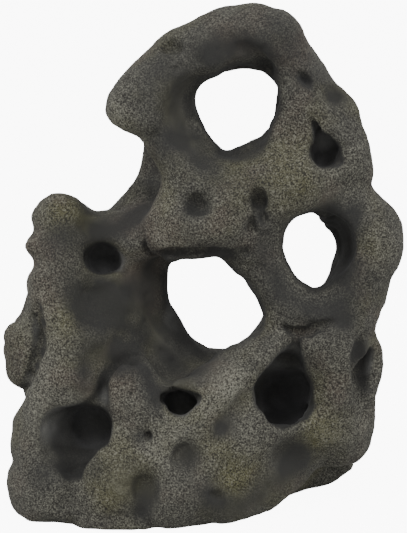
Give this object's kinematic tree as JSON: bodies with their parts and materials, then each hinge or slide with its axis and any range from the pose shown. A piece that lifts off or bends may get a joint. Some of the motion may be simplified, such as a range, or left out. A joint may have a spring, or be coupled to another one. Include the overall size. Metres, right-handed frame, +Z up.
{
  "type": "holey rock",
  "caption": "Free-standing porous stone, worn through by rounded tunnels and pocked with caves, pits and creases, on a flat foot.",
  "frame": {"origin": "on the flat foot, under the middle of the rock, on the surface that it stands on", "axes": "+Z up, from the foot to the crown; the face with the large caves looks towards -Y; +X is to the right seen from there"},
  "size_m": [0.1971, 0.1121, 0.2466],
  "materials": {
    "stone": "rough, matt, finely pitted, olive grey with pale and dark grains"
  },
  "bodies": {
    "root": {"rock": "stone"}
  },
  "joints": []
}
